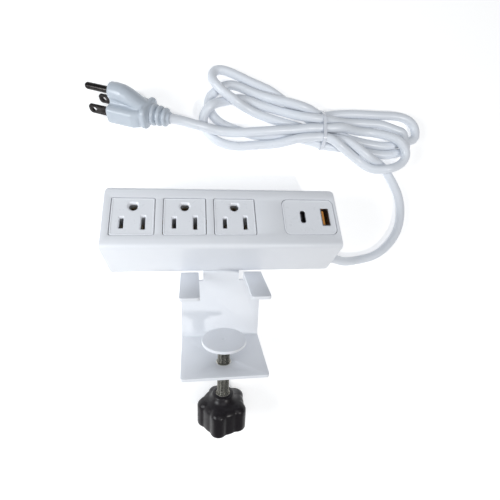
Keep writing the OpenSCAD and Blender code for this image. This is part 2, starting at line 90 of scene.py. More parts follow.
def material(name, colour, rough, metal=0.0, tint=None, spots=90, rough_span=0.08, grain=1600,
             bump=0.04, bump_mm=0.05, coat=0.0, coat_rough=0.1, stretch=(1, 1, 1), specular=0.5):
    """A node material: mottled colour, uneven roughness and a fine bump, all in object space."""
    m = bpy.data.materials.new(name)
    m.use_nodes = True
    nodes, links = m.node_tree.nodes, m.node_tree.links
    nodes.clear()
    out = nodes.new("ShaderNodeOutputMaterial")
    b = nodes.new("ShaderNodeBsdfPrincipled")
    links.new(b.outputs[0], out.inputs[0])
    place = nodes.new("ShaderNodeTexCoord")
    size = nodes.new("ShaderNodeMapping")
    size.inputs["Scale"].default_value = stretch
    links.new(place.outputs["Object"], size.inputs["Vector"])

    def noise(scale, octaves):
        n = nodes.new("ShaderNodeTexNoise")
        n.inputs["Scale"].default_value = scale
        n.inputs["Detail"].default_value = octaves
        links.new(size.outputs[0], n.inputs["Vector"])
        return n.outputs["Fac"]

    def span(value, low, high):
        r = nodes.new("ShaderNodeMapRange")
        r.inputs["From Min"].default_value = 0.3
        r.inputs["From Max"].default_value = 0.7
        r.inputs["To Min"].default_value = low
        r.inputs["To Max"].default_value = high
        links.new(value, r.inputs["Value"])
        return r.outputs[0]

    mix = nodes.new("ShaderNodeMix")
    mix.data_type = "RGBA"
    links.new(span(noise(spots, OCTAVES), 0, TINT_SHARE), mix.inputs["Factor"])
    mix.inputs["A"].default_value = (*colour, 1)
    mix.inputs["B"].default_value = (*(tint or [c * 0.9 for c in colour]), 1)
    links.new(mix.outputs["Result"], b.inputs["Base Color"])
    links.new(span(noise(spots * ROUGH_SPOTS, OCTAVES), rough - rough_span,
                   rough + rough_span), b.inputs["Roughness"])
    raised = nodes.new("ShaderNodeBump")
    raised.inputs["Strength"].default_value = bump
    raised.inputs["Distance"].default_value = bump_mm * MM
    links.new(noise(grain, BUMP_OCTAVES), raised.inputs["Height"])
    links.new(raised.outputs[0], b.inputs["Normal"])
    socket(b, "Metallic", metal)
    socket(b, "Specular IOR Level", specular)
    socket(b, "Coat Weight", coat)
    socket(b, "Coat Roughness", coat_rough)
    return m


POWDER = material("powder_coat", (0.80, 0.82, 0.86), 0.42, tint=(0.76, 0.785, 0.83), spots=60,
                  grain=2600, bump=0.25, bump_mm=0.03, coat=0.08, coat_rough=0.3)
HOUSING = material("housing_plastic", (0.74, 0.76, 0.80), 0.45, spots=70, grain=3000, bump=0.2,
                   bump_mm=0.03)
INSERT = material("insert_plastic", (0.82, 0.84, 0.88), 0.32, tint=(0.79, 0.815, 0.86), spots=80,
                  grain=2200, bump=0.1, bump_mm=0.02, coat=0.1, coat_rough=0.2)
INNER = material("inner_plastic", (0.60, 0.61, 0.63), 0.6, grain=1500, bump=0.3)
BRASS = material("brass", (0.50, 0.42, 0.30), 0.3, metal=1.0, tint=(0.55, 0.36, 0.16),
                 spots=220, grain=2600, bump=0.2, bump_mm=0.02)
ZINC = material("zinc_steel", (0.56, 0.54, 0.48), 0.22, metal=1.0, tint=(0.58, 0.56, 0.52),
                spots=260, grain=2400, bump=0.15, bump_mm=0.015, rough_span=0.06)
# painted shade: the clamp rod's steel has a near-black base colour, far darker than real steel,
# standing in for shade under the bracket and dark reflections
PAINTED_SHADE_STEEL = material("screw_steel_painted_shade", (0.17, 0.165, 0.145), 0.2, metal=1.0, tint=(0.11, 0.105, 0.095),
                 spots=120, grain=1500, bump=0.15, bump_mm=0.01)
PORT = material("port_steel", (0.55, 0.55, 0.57), 0.3, metal=1.0, spots=300, grain=3000,
                bump=0.15, bump_mm=0.01, stretch=(1, 1, 0.2))
AMBER = material("amber_plastic", (0.72, 0.30, 0.05), 0.4, tint=(0.60, 0.24, 0.04), spots=300)
BLACK = material("knob_black", (0.009, 0.007, 0.009), 0.34, tint=(0.012, 0.010, 0.012),
                 spots=160, rough_span=0.07, grain=1500, bump=0.2, bump_mm=0.04, coat=0.04,
                 coat_rough=0.12, specular=0.25)
PVC = material("white_pvc", (0.78, 0.815, 0.87), 0.34, tint=(0.745, 0.785, 0.845), spots=45,
               grain=1300, bump=0.12, bump_mm=0.03, coat=0.15, coat_rough=0.2)
# painted shade: a darker, greyer copy of the cord's white PVC, standing in for the shade the plug
# lies in
PLUG_PVC_PAINTED_SHADE = material("plug_pvc_painted_shade", (0.49, 0.54, 0.60), 0.36, tint=(0.455, 0.505, 0.565), spots=60,
                    grain=1500, bump=0.12, bump_mm=0.03, coat=0.15, coat_rough=0.2)
FILM = material("tie_film", (0.74, 0.77, 0.83), 0.2, spots=300, grain=900, bump=0.4,
                bump_mm=0.05, coat=0.5, coat_rough=0.08)
BLADE = material("blade_metal", (0.028, 0.025, 0.025), 0.28, metal=1.0, tint=(0.10, 0.095, 0.09),
                 spots=260, grain=2200, bump=0.25, bump_mm=0.02)
BOARD = material("board_green", (0.02, 0.12, 0.05), 0.4, tint=(0.03, 0.17, 0.07), spots=500)
TAPE = material("winding_tape", (0.62, 0.45, 0.08), 0.5, spots=300, grain=900, bump=0.4)
CAN = material("capacitor_can", (0.03, 0.04, 0.12), 0.3, spots=200)
WIRES = {n: material("wire_" + n, c, 0.4, spots=200) for n, c in
         (("line", (0.015, 0.015, 0.015)), ("neutral", (0.7, 0.7, 0.7)),
          ("ground", (0.02, 0.25, 0.06)))}


# ---------------------------------------------------------------- mesh helpers
def piece(name, verts, faces, place, finish, rides="strip", node=(), slot=None, angle=35):
    """A mesh piece whose points are in millimetres in the frame `place`."""
    mesh = bpy.data.meshes.new(name)
    mesh.from_pydata([tuple(v) for v in verts], [], [tuple(f) for f in faces])
    o = bpy.data.objects.new(name, mesh)
    bpy.context.scene.collection.objects.link(o)
    bm = bmesh.new()
    bm.from_mesh(mesh)
    bmesh.ops.remove_doubles(bm, verts=bm.verts, dist=1e-4)
    bmesh.ops.recalc_face_normals(bm, faces=bm.faces)
    bm.to_mesh(mesh)
    bm.free()
    return settle_in(o, place, finish, rides, node, angle)


def settle_in(o, place, finish, rides="strip", node=(), angle=35):
    """Puts a millimetre mesh in its place in metres, with its finish and its body."""
    o.data.transform(Matrix.Scale(MM, 4) @ place)
    o.data.update()
    smooth(o, angle)
    o.data.materials.clear()
    o.data.materials.append(finish)
    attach(o, rides)
    if node:
        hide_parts(*node)
    return o


def smooth(o, angle=35):
    o.data.polygons.foreach_set("use_smooth", [True] * len(o.data.polygons))
    o.data.set_sharp_from_angle(angle=math.radians(angle))


def circle(r, z, n):
    """A ring of n points about Z."""
    return [(r * math.cos(2 * math.pi * k / n), r * math.sin(2 * math.pi * k / n), z)
            for k in range(n)]


def loft(rings, cyclic=False):
    """Points and faces of a tube through rings that have equally many points."""
    n = len(rings[0])
    verts = [p for ring in rings for p in ring]
    faces = []
    last = len(rings) if cyclic else len(rings) - 1
    for i in range(last):
        a, b = i * n, ((i + 1) % len(rings)) * n
        faces += [(a + k, a + (k + 1) % n, b + (k + 1) % n, b + k) for k in range(n)]
    if not cyclic:
        faces.append(tuple(range(n - 1, -1, -1)))
        faces.append(tuple((len(rings) - 1) * n + k for k in range(n)))
    return verts, faces


def join_parts(*parts):
    verts, faces = [], []
    for v, f in parts:
        faces += [tuple(k + len(verts) for k in face) for face in f]
        verts += list(v)
    return verts, faces


def round_rect(w, h, r, per=8):
    """A rounded rectangle as a list of points, anticlockwise."""
    points = []
    for cx, cy, start in ((1, 1, 0), (-1, 1, 90), (-1, -1, 180), (1, -1, 270)):
        for k in range(per + 1):
            a = math.radians(start + 90 * k / per)
            points.append((cx * (w / 2 - r) + r * math.cos(a),
                           cy * (h / 2 - r) + r * math.sin(a)))
    return points


def lathe(profile, n=64):
    """Points and faces of a shape turned about Z from (radius, height) pairs."""
    return loft([circle(r, z, n) for r, z in profile])


def turned_ring(profile, n=56):
    """Points and faces of a ring turned about Z from a closed (radius, height) profile."""
    return loft([circle(r, z, n) for r, z in profile], cyclic=True)


def arc(cx, cz, r, start, end, steps=6):
    """Points of an arc in a profile."""
    return [(cx + r * math.cos(math.radians(start + (end - start) * k / steps)),
             cz + r * math.sin(math.radians(start + (end - start) * k / steps)))
            for k in range(steps + 1)]


def raw(name, verts, faces):
    """A scratch object in millimetres, for booleans."""
    mesh = bpy.data.meshes.new(name)
    mesh.from_pydata([tuple(v) for v in verts], [], [tuple(f) for f in faces])
    bm = bmesh.new()
    bm.from_mesh(mesh)
    bmesh.ops.recalc_face_normals(bm, faces=bm.faces)
    bm.to_mesh(mesh)
    bm.free()
    o = bpy.data.objects.new(name, mesh)
    bpy.context.scene.collection.objects.link(o)
    return o


def apply_all(o):
    """Replaces an object's mesh with the result of its modifiers."""
    bpy.context.view_layer.update()
    made = bpy.data.meshes.new_from_object(
        o.evaluated_get(bpy.context.evaluated_depsgraph_get()))
    o.modifiers.clear()
    o.data = made
    return o


def carve(o, cutters):
    for c in cutters:
        m = o.modifiers.new("cut", "BOOLEAN")
        m.operation, m.solver, m.object = "DIFFERENCE", "EXACT", c
    apply_all(o)
    for c in cutters:
        bpy.data.objects.remove(c)
    return o


def bevel(o, width, segments=3, angle=40):
    m = o.modifiers.new("edge", "BEVEL")
    m.width, m.segments, m.limit_method = width, segments, "ANGLE"
    m.angle_limit = math.radians(angle)
    m.miter_outer = "MITER_ARC"
    m.use_clamp_overlap = True
    return apply_all(o)


def from_node(node, name, finish, edge):
    """A CAD node's shape with its edges broken, in place of the node."""
    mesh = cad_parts[node].data.copy()
    o = bpy.data.objects.new(name, mesh)
    bpy.context.scene.collection.objects.link(o)
    bm = bmesh.new()
    bm.from_mesh(mesh)
    bmesh.ops.scale(bm, vec=(1 / MM,) * 3, verts=bm.verts)
    bmesh.ops.remove_doubles(bm, verts=bm.verts, dist=1e-3)
    bmesh.ops.dissolve_limit(bm, angle_limit=math.radians(0.5), verts=bm.verts, edges=bm.edges,
                             use_dissolve_boundaries=False)
    bm.to_mesh(mesh)
    bm.free()
    for layer in [a.name for a in mesh.attributes if a.name == "custom_normal"]:
        mesh.attributes.remove(mesh.attributes[layer])
    bevel(o, edge, 2)
    return settle_in(o, TABLE, finish, "strip", (node,))


# ---------------------------------------------------------------- camera
camera = bpy.data.objects.new("camera", bpy.data.cameras.new("camera"))
camera.data.lens = 27.07
camera.data.sensor_width = 36
camera.data.clip_start = 0.01
right, up, back = (0.9887, -0.0075, 0.1495), (0.0081, 1, -0.0031), (-0.1495, 0.0043, 0.9888)
axes = Matrix((right, up, back)).transposed().to_4x4()
CAMERA_AT = (-0.02006, 0.04298, 0.27656)
camera.matrix_world = Matrix.Translation(CAMERA_AT) @ axes
bpy.context.scene.collection.objects.link(camera)
bpy.context.scene.camera = camera

# ---------------------------------------------------------------- cord
CORD_D = 6.6
LOW = CORD_D / 2
EXIT = (73.5, 34.9, 20.7)
# NOT A DESIGN: a scratch program worked these points out from places measured along the cord
# in the photograph, which the task's rules don't allow. It is an open failure in report.md.
# Seven runs cross the tie. Each stretch goes on from the one before, from body to plug.
ROUTE = [
    # out of the body, down, round in front, and back to the tie
    EXIT, (77, 35.5, 20), (82, 34.6, 17), (89, 33, 12.5), (97, 32.8, 8.5), (107, 34, 5),
    (118.5, 37, LOW), (129, 44.5, LOW), (137, 55.5, LOW), (139.5, 64, LOW), (140, 72, LOW),
    (139.3, 80, LOW), (136.5, 88, LOW), (132, 96, LOW), (127, 103, LOW), (121, 108, 4),
    (113, 112, 5), (104, 117, 8), (94, 122, 9), (84, 127, 5),
    # left loop 1
    (76, 128.3, LOW), (67, 131, LOW), (52, 135, LOW), (40, 138, 4), (27, 142, 7), (17, 146, 10),
    (9, 150, 12), (1, 155, 12), (-4, 161, 11), (-6, 168, 8), (-1, 173, 6), (7, 171, 4),
    (18, 167, LOW), (28, 161, LOW), (41, 155, LOW), (52, 149, LOW), (64, 142, LOW),
    # right loop 1
    (76, 134.9, LOW), (89, 129, LOW), (99, 125, LOW), (109, 122, LOW), (119, 121, LOW),
    (128, 121, LOW), (136, 122.5, LOW), (143, 125, LOW), (149, 128, LOW), (153, 133, LOW),
    (152, 138.5, LOW), (146, 143, LOW), (136, 145, LOW), (124, 145, LOW), (107, 144, LOW),
    (91, 143, LOW),
    # left loop 2
    (76, 141.5, LOW), (63, 145, 6), (51, 149, 9), (43, 151.5, 10), (36, 154, 10), (28, 156.5, 9),
    (21, 159, 8), (14, 161, 6), (7, 162, LOW), (0, 160, LOW), (-5, 156, LOW), (-8, 151, LOW),
    (-8, 145.5, LOW), (-6, 140, LOW), (-1, 135, LOW), (7, 131, LOW), (18, 127.5, LOW),
    (29, 126, LOW), (44, 126, LOW), (60, 124.5, LOW),
    # right loop 2
    (76, 121.7, LOW), (91, 121, LOW), (103, 118, LOW), (115, 116, LOW), (125, 115, LOW),
    (133, 116, LOW), (140, 120, LOW), (144, 124, LOW), (144, 129, LOW), (138, 133, 4),
    (129, 137, 6), (117, 138.8, 9), (105, 139, 10), (88, 138.8, 10),
    # left loop 3
    (76, 138.2, 10), (62, 140, 10), (47, 144, 10), (32, 148.5, 9), (25, 151, 7), (18, 152, 5),
    (11, 151.5, 5), (4, 149.5, 7), (-2, 147.5, 10), (-7, 144, 10), (-10.5, 140, 8),
    (-12.5, 134, 5), (-10, 128, LOW), (-4, 122, LOW), (7, 118, LOW), (18, 118, LOW),
    (33, 120, 4), (51, 123, 8),
    # right loop 3
    (76, 125, 10), (84, 123.5, 9), (92, 118.5, 7), (102, 111.5, 6), (112, 105.5, 8),
    (122, 102.5, 10), (132, 104, 10), (139, 108, 9), (142, 114, 9), (139, 120, 9),
    (131, 127, 10), (120, 131, 10), (104, 132, 10), (88, 132, 10),
    # over the bundle and up to the plug
    (76, 131.6, 10), (58, 130, 10), (39, 128, 10), (21, 126.5, 10), (6, 126.3, 10.5),
    (-4, 127, 11), (-12, 128, 12.5), (-20, 129, 15), (-28, 130, 18),
]
RELIEF_BACK = PLUG @ Vector((-38, 0, 1))
TIE_X = 76


def curve_through(points, step):
    """Evenly spaced points of a smooth curve through the given ones."""
    p = np.array([tuple(v) for v in points], float)
    p = np.vstack([2 * p[0] - p[1], p, 2 * p[-1] - p[-2]])
    fine = []
    for a, b, c, d in zip(p[:-3], p[1:-2], p[2:-1], p[3:]):
        t = np.linspace(0, 1, 24, endpoint=False)[:, None]
        # centripetal knots keep unevenly spaced points free of kinks
        k = [0.0]
        for u, v in ((a, b), (b, c), (c, d)):
            k.append(k[-1] + max(np.linalg.norm(v - u), 1e-6) ** 0.5)
        s = k[1] + t * (k[2] - k[1])

        def between(u, v, lo, hi):
            return ((hi - s) * u + (s - lo) * v) / (hi - lo)
        ab, bc, cd = (between(a, b, k[0], k[1]), between(b, c, k[1], k[2]),
                      between(c, d, k[2], k[3]))
        abc = between(ab, bc, k[0], k[2])
        bcd = between(bc, cd, k[1], k[3])
        fine.append(between(abc, bcd, k[1], k[2]))
    fine = np.vstack(fine + [p[-2][None]])
    run = np.concatenate([[0], np.cumsum(np.linalg.norm(np.diff(fine, axis=0), axis=1))])
    at = np.linspace(0, run[-1], int(round(run[-1] / step)) + 1)
    return np.stack([np.interp(at, run, fine[:, i]) for i in range(3)], axis=1)


def settle_cord(p, d, rounds=900):
    """Lets the cord down on the surface and on itself, as a chain of points that keep their
    plan, resist bending and never come nearer than a diameter."""
    sink, calm_sink = 0.03, 0.01     # fall in a round, and in the last rounds
    stiffness, levelling, hold = 0.2, 0.08, 0.02
    push_share = 1.3
    aim = p.copy()
    n = len(p)
    step = np.linalg.norm(p[1] - p[0])
    free = np.ones(n, bool)
    free[:6] = free[-10:] = False
    ends = ~free
    apart = np.abs(np.subtract.outer(np.arange(n), np.arange(n))) > int(2.4 * d / step)
    upper = np.triu(apart)
    for turn in range(rounds):
        calm = turn > 0.75 * rounds
        p[:, 2] -= calm_sink if calm else sink
        lap = np.zeros_like(p)
        lap[1:-1] = (p[:-2] + p[2:]) / 2 - p[1:-1]
        bend = np.zeros_like(p)
        bend[1:-1] = lap[1:-1] - (lap[:-2] + lap[2:]) / 2
        p += stiffness * bend
        p[:, 2] += levelling * lap[:, 2]
        p[:, :2] += hold * (aim[:, :2] - p[:, :2])
        gap = p[:, None] - p[None]
        far = np.sqrt((gap ** 2).sum(2))
        i, j = np.nonzero(upper & (far < d))
        if len(i):
            push = (0.5 * (d - far[i, j]) / np.maximum(far[i, j], 1e-6))[:, None] * gap[i, j]
            move, count = np.zeros_like(p), np.zeros(n)
            for at, sign in ((i, 1), (j, -1)):
                np.add.at(move, at, sign * push)
                np.add.at(count, at, 1)
            p += move / np.maximum(count, 1)[:, None] * push_share
        p[:, 2] = np.maximum(p[:, 2], d / 2)
        p[ends] = aim[ends]
    return p


SETTLE_STEP, CORD_STEP = 3.0, 1.5
CORD_GAP = 0.15                  # keeps crossing runs from touching
route = curve_through(ROUTE + [tuple(RELIEF_BACK)], SETTLE_STEP)
route = settle_cord(route, CORD_D + CORD_GAP)
line = curve_through(route, CORD_STEP)
cord_curve = bpy.data.curves.new("cord", "CURVE")
cord_curve.dimensions = "3D"
spline = cord_curve.splines.new("POLY")
spline.points.add(len(line) - 1)
spline.points.foreach_set("co", np.column_stack([line * MM, np.ones(len(line))]).ravel())
cord_curve.bevel_depth = CORD_D / 2 * MM
cord_curve.bevel_resolution = 6
cord_curve.use_fill_caps = True
cord = bpy.data.objects.new("cord", cord_curve)
cord_curve.materials.append(PVC)
bpy.context.scene.collection.objects.link(cord)
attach(cord, "strip")
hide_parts("cord_tail", "cord_hank", "cord_lead")

# ---------------------------------------------------------------- body
from_node("front_cover", "cover", POWDER, edge=0.25)
from_node("rear_housing", "housing", HOUSING, edge=0.25)
from_node("clamp_bracket", "bracket", POWDER, edge=0.3)
TOP = DEPTH                      # outlet face, in the body's frame
PITCH, FIRST_X, SIDE = 31.0, -56.0, 25.75
USB_X, BEZEL_W = 54.2, 34.3
BLADE_GAP, GROUND_RISE, ROW = 12.7, 11.9, -4.4
STEP_DOWN, WELL = 0.2, 6         # an insert's inner face under its rim, and its openings' depth


def moved(outline, x, y):
    return [(px + x, py + y) for px, py in outline]


def well(name, wide, narrow, top, depth, funnel):
    """A cutter: a funnel from the wide outline down to the narrow one, then straight down."""
    rings = [[(x, y, z) for x, y in line] for line, z in
             ((wide, top + 0.5), (wide, top), (narrow, top - funnel), (narrow, top - depth))]
    return raw(name, *loft(rings))


def d_shape(r, flat, n=28):
    """A round outline whose upper side is flat."""
    points = []
    for k in range(n):
        a = 2 * math.pi * k / n
        points.append((r * math.cos(a), min(r * math.sin(a), flat)))
    return points


def insert_plate(name, w, h, r, x, holes):
    """A moulded insert: a plate with a rounded rim, a shallow step inside it, and openings."""
    levels = ((0.0, -COVER_T - 1.4), (0.0, -0.35), (0.12, -0.1), (0.4, 0.02), (0.75, 0.0),
              (0.95, -0.16), (1.3, -0.2))
    rings = [[(px + x, py + MID_Y, TOP + z) for px, py in
              round_rect(w - 2 * inset, h - 2 * inset, max(r - inset, 0.3), 6)]
             for inset, z in levels]
    o = raw(name, *loft(rings))
    carve(o, holes)
    return settle_in(o, BODY, INSERT, "strip", (name,), 28)


for i in range(3):
    x = FIRST_X + i * PITCH
    y = MID_Y + ROW
    top = TOP - STEP_DOWN
    holes = [
        well("line_slot", moved(round_rect(3.6, 8.8, 0.8, 4), x - BLADE_GAP / 2, y),
             moved(round_rect(2.5, 7.2, 0.3, 4), x - BLADE_GAP / 2, y), top, WELL, 0.9),
        well("neutral_slot", moved(round_rect(3.6, 10.4, 0.8, 4), x + BLADE_GAP / 2, y),
             moved(round_rect(2.5, 8.8, 0.3, 4), x + BLADE_GAP / 2, y), top, WELL, 0.9),
        well("ground_slot", moved(d_shape(3.75, 3.1), x, y + GROUND_RISE - 0.4),
             moved(d_shape(2.75, 2.2), x, y + GROUND_RISE - 0.4), top, WELL, 0.9),
    ]
    insert_plate(f"outlet_face_{i + 1}", SIDE, SIDE, 1.1, x, holes)

USB_A_X, USB_C_X = USB_X + 10.8, USB_X - 4.2
insert_plate("usb_bezel", BEZEL_W, SIDE, 4, USB_X, [
    well("a_port", moved(round_rect(5.9, 13.6, 0.8, 4), USB_A_X, MID_Y),
         moved(round_rect(5.2, 12.8, 0.5, 4), USB_A_X, MID_Y), TOP - STEP_DOWN, WELL, 0.4),
    well("c_port", moved(round_rect(3.9, 9.7, 1.9, 8), USB_C_X, MID_Y),
         moved(round_rect(3.2, 9.0, 1.55, 8), USB_C_X, MID_Y), TOP - STEP_DOWN, WELL, 0.4)])

# ---------------------------------------------------------------- clamp
PAD_TOP, PAD_T, PAD_R = -33.4, 2.0, 14.2
pad = ([(0, PAD_TOP - 0.35), (0.55, PAD_TOP - 0.3), (0.9, PAD_TOP - 0.02), (1.1, PAD_TOP)]
       + arc(PAD_R - 0.5, PAD_TOP - 0.5, 0.5, 90, 0, 5)
       + arc(PAD_R - 0.4, PAD_TOP - PAD_T + 0.4, 0.4, 0, -90, 4) + [(0, PAD_TOP - PAD_T)])
piece("pad_plate", *lathe(pad, 96), AXIS, POWDER, "pad", ("pad_disc",), "white_powder_coat", 50)
SOCKET_T, SOCKET_R = 3.5, 6.5
under = PAD_TOP - PAD_T
cup = ([(0, under + 0.01), (SOCKET_R - 0.2, under + 0.01)]
       + arc(SOCKET_R - 0.5, under - 0.5, 0.5, 60, 0, 3) + [(SOCKET_R, under - 2.2)]
       + arc(SOCKET_R - 0.8, under - 2.2, 0.8, 0, -90, 5)
       + [(3.6, under - 3.0), (3.4, under - SOCKET_T), (2.55, under - SOCKET_T),
          (2.55, under - 0.6), (0, under - 0.6)])
piece("pad_cup", *lathe(cup, 64), AXIS, ZINC, "pad", ("pad_socket",), "zinc_steel", 40)

SCREW_R, THREAD_PITCH, THREAD_DEPTH = 4.0, 1.25, 0.62
SCREW_END, SHOULDER = -90.6, under - SOCKET_T - 0.1


def threaded_rod(low, high, around=40, per_pitch=8):
    """A right-hand thread: the radius follows a blunt V along the height and round the axis."""
    rings = []
    count = int((high - low) / THREAD_PITCH * per_pitch)
    for i in range(count + 1):
        z = low + (high - low) * i / count
        fade = min(1.0, (high - z) / 1.2, (z - low) / 1.2)
        ring = []
        for k in range(around):
            a = 2 * math.pi * k / around
            phase = (z / THREAD_PITCH - k / around) % 1
            tooth = min(1, max(0, 2.6 * abs(phase - 0.5) - 0.2))
            r = SCREW_R - 0.02 - THREAD_DEPTH * tooth * max(fade, 0) - 0.35 * (1 - max(fade, 0))
            ring.append((r * math.cos(a), r * math.sin(a), z))
        rings.append(ring)
    return loft(rings)


neck = lathe([(0, SHOULDER - 0.5), (2.5, SHOULDER - 0.5), (2.5, under - 0.9), (2.1, under - 0.65),
              (0, under - 0.65)], 32)
piece("clamp_rod", *join_parts(threaded_rod(SCREW_END, SHOULDER), neck), AXIS, PAINTED_SHADE_STEEL, "screw",
      ("clamp_screw",), "zinc_steel", 60)
BUSH_TOP, BUSH_LOW = -50.0, -52.0
bush = [(4.05, BUSH_LOW - 0.02), (4.5, BUSH_LOW - 0.02), (4.5, BUSH_TOP), (4.9, BUSH_TOP),
        (4.9, BUSH_TOP + 0.3), (4.7, BUSH_TOP + 0.5), (4.25, BUSH_TOP + 0.5),
        (4.05, BUSH_TOP + 0.3)]
piece("foot_bushing", *turned_ring(bush), AXIS, ZINC, "strip", ("clamp_bushing",),
      "zinc_steel", 40)

# star knob: the outline is a core with five lobes that run softly into it
HUB_TOP, STAR_TOP, STAR_LOW = -74.0, -81.0, -98.6
LOBES, LOBE_AT, LOBE_R, CORE_R, TURNED = 5, 11.8, 5.4, 14.4, 37.0


def star_radius(a, blend=2.2):
    """Distance from the axis to the knob's outline at angle a, in radians."""
    best = 0.0
    total = math.exp(CORE_R * blend)
    for k in range(LOBES):
        d = a - math.radians(TURNED + 360 * k / LOBES)
        inside = LOBE_R ** 2 - (LOBE_AT * math.sin(d)) ** 2
        if inside > 0 and math.cos(d) > 0:
            best = LOBE_AT * math.cos(d) + math.sqrt(inside)
            total += math.exp(best * blend)
    return math.log(total) / blend - 0.12


STEPS = 160
outline = [star_radius(2 * math.pi * k / STEPS) for k in range(STEPS)]


def star_ring(inset, z, roundness=0.0):
    """The outline moved in by inset; roundness mixes it towards a circle."""
    ring = []
    for k, reach in enumerate(outline):
        a = 2 * math.pi * k / STEPS
        r = (reach - inset) * (1 - roundness) + (CORE_R - inset) * roundness
        ring.append((r * math.cos(a), r * math.sin(a), z))
    return ring


TOP_EDGE, LOW_EDGE, CROWN = 2.6, 2.2, 1.2
HUB = ((4.8, -14), (4.8, -0.25), (5.05, 0), (5.6, -0.05), (5.9, -0.35), (6.3, -0.35),
       (6.9, -0.6), (7.3, -1.6), (7.8, -3.0), (8.8, -4.4), (10.2, -5.4))
rings = [circle(r, HUB_TOP + drop, STEPS) for r, drop in HUB]
for t in range(7):
    near = 1 - math.sin(math.radians(90 * t / 6))
    far = 1 - math.cos(math.radians(90 * t / 6))
    rings.append(star_ring(TOP_EDGE * near, STAR_TOP - TOP_EDGE * far + CROWN * near, 0.25 * near))
for t in range(1, 5):
    rings.append(star_ring(0, STAR_TOP - TOP_EDGE
                           + (STAR_LOW + LOW_EDGE - STAR_TOP + TOP_EDGE) * t / 5))
for t in range(7):
    near = 1 - math.sin(math.radians(90 * t / 6))
    far = 1 - math.cos(math.radians(90 * t / 6))
    rings.append(star_ring(LOW_EDGE * far, STAR_LOW + LOW_EDGE * near, 0.2 * far))
rings.append(star_ring(5, STAR_LOW + 0.1, 0.6))
piece("star_grip", *loft(rings), AXIS, BLACK, "screw", ("star_knob",), "black_plastic", 50)
insert_profile = [(4.02, HUB_TOP - 12), (4.75, HUB_TOP - 12), (4.75, HUB_TOP - 0.3),
                  (4.55, HUB_TOP - 0.1), (4.3, HUB_TOP - 0.15), (4.02, HUB_TOP - 0.4)]
piece("knob_collar", *turned_ring(insert_profile), AXIS, ZINC, "screw", ("knob_insert",),
      "zinc_steel", 40)

# ---------------------------------------------------------------- plug
def block_along_x(stations):
    """A rounded rectangle that changes along X: (x, width in Y, height in Z, corner, centre Z)."""
    return loft([[(x, y, z + up) for y, z in round_rect(w, h, corner, 6)]
                 for x, w, h, corner, up in stations])


def swell(stations, n=28):
    """A round body through (x, y, z, radius across Y, radius across Z) stations along X."""
    turn = [2 * math.pi * k / n for k in range(n)]
    return loft([[(x, y + ry * math.cos(a), z + rz * math.sin(a)) for a in turn]
                 for x, y, z, ry, rz in stations])


def moulded(name, parts, voxel, rounds, place, finish, rides, node):
    """Overlapping closed forms, fused and softened into one moulding."""
    verts, faces = join_parts(*parts)
    o = raw(name, verts, faces)
    fuse = o.modifiers.new("fuse", "REMESH")
    fuse.mode, fuse.voxel_size = "VOXEL", voxel
    soft = o.modifiers.new("soft", "SMOOTH")
    soft.factor, soft.iterations = 0.5, rounds
    apply_all(o)
    return settle_in(o, place, finish, rides, node, 180)


PLUG_LEN, PIN_Z = 25.0, GROUND_RISE
block = block_along_x([(0.5, 22.9, 11.5, 3.2, 0), (0.15, 23.5, 12.1, 3.5, 0),
                       (-17, 23.5, 12.1, 3.5, 0), (-20.5, 22, 11.8, 4, 0.2),
                       (-23.5, 18.5, 11.4, 4, 0.6)])
ridge = swell([(0.5, 0, PIN_Z, 5.5, 5.5), (0.15, 0, PIN_Z, 5.8, 5.8),
               (-5, 0, PIN_Z, 6.0, 6.0), (-9, 0, PIN_Z - 0.5, 6.0, 6.0),
               (-13, 0, PIN_Z - 2.0, 6.1, 5.8), (-17, 0, PIN_Z - 4.6, 6.3, 5.8),
               (-21, 0, PIN_Z - 7.6, 6.5, 6.0), (-25, 0, 2.2, 6.6, 6.2)])
web = swell([(0.35, 0, PIN_Z - 5, 5.1, 6), (-11, 0, PIN_Z - 6, 4.9, 6), (-18, 0, 4, 5, 6)])
collar = block_along_x([(-21.8, 16, 10.6, 3, 1), (-22.6, 19.6, 13.6, 4, 1.2),
                        (-23.4, 20.8, 14.6, 4.2, 1.3), (-25.4, 20.8, 14.6, 4.2, 1.3),
                        (-26.2, 19.6, 13.6, 4, 1.2), (-26.6, 17, 11.5, 3, 1)])
neck = swell([(-21, 0, 1, 7.6, 6.6), (-27.5, 0, 1, 7.0, 6.6)])
moulded("plug_moulding", (block, ridge, web, collar, neck), 0.42, 4, PLUG, PLUG_PVC_PAINTED_SHADE, "strip",
        ("plug_body",))
ribs = [swell([(-26, 0, 1, 5.2, 5.2), (-33, 0, 1, 4.6, 4.6), (-39, 0, 1, 4.1, 4.1),
               (-40.2, 0, 1, 3.7, 3.7)], 40)]
for x, r in ((-28.6, 7.1), (-32.6, 6.6), (-36.6, 6.1)):
    ribs.append(swell([(x + 1.45, 0, 1, r - 1.3, r - 1.3), (x + 1.15, 0, 1, r - 0.4, r - 0.4),
                       (x + 0.5, 0, 1, r, r), (x - 0.6, 0, 1, r - 0.05, r - 0.05),
                       (x - 1.25, 0, 1, r - 0.5, r - 0.5), (x - 1.5, 0, 1, r - 1.4, r - 1.4)], 40))
moulded("plug_relief", ribs, 0.36, 3, PLUG, PLUG_PVC_PAINTED_SHADE, "strip", ("plug_strain_relief",))

BLADE_LEN, PIN_LEN, BLADE_W, BLADE_T = 16.0, 19.2, 6.35, 1.55


def blade(name, y):
    w, n = BLADE_W / 2, BLADE_LEN
    flat = [(-6, -w), (n - 1.6, -w), (n - 0.5, -w + 0.9), (n, -w + 2.0), (n, w - 2.0),
            (n - 0.5, w - 0.9), (n - 1.6, w), (-6, w)]
    o = raw(name, *loft([[(x, y - BLADE_T / 2, z) for x, z in flat],
                         [(x, y + BLADE_T / 2, z) for x, z in flat]]))
    hole = raw("hole", *lathe([(0, -3), (1.35, -3), (1.35, 3), (0, 3)], 28))
    hole.data.transform(Matrix.Translation((n - 4.2, y, 0)) @ turned(90, 0, 0))
    carve(o, [hole])
    return bevel(o, 0.25, 2)


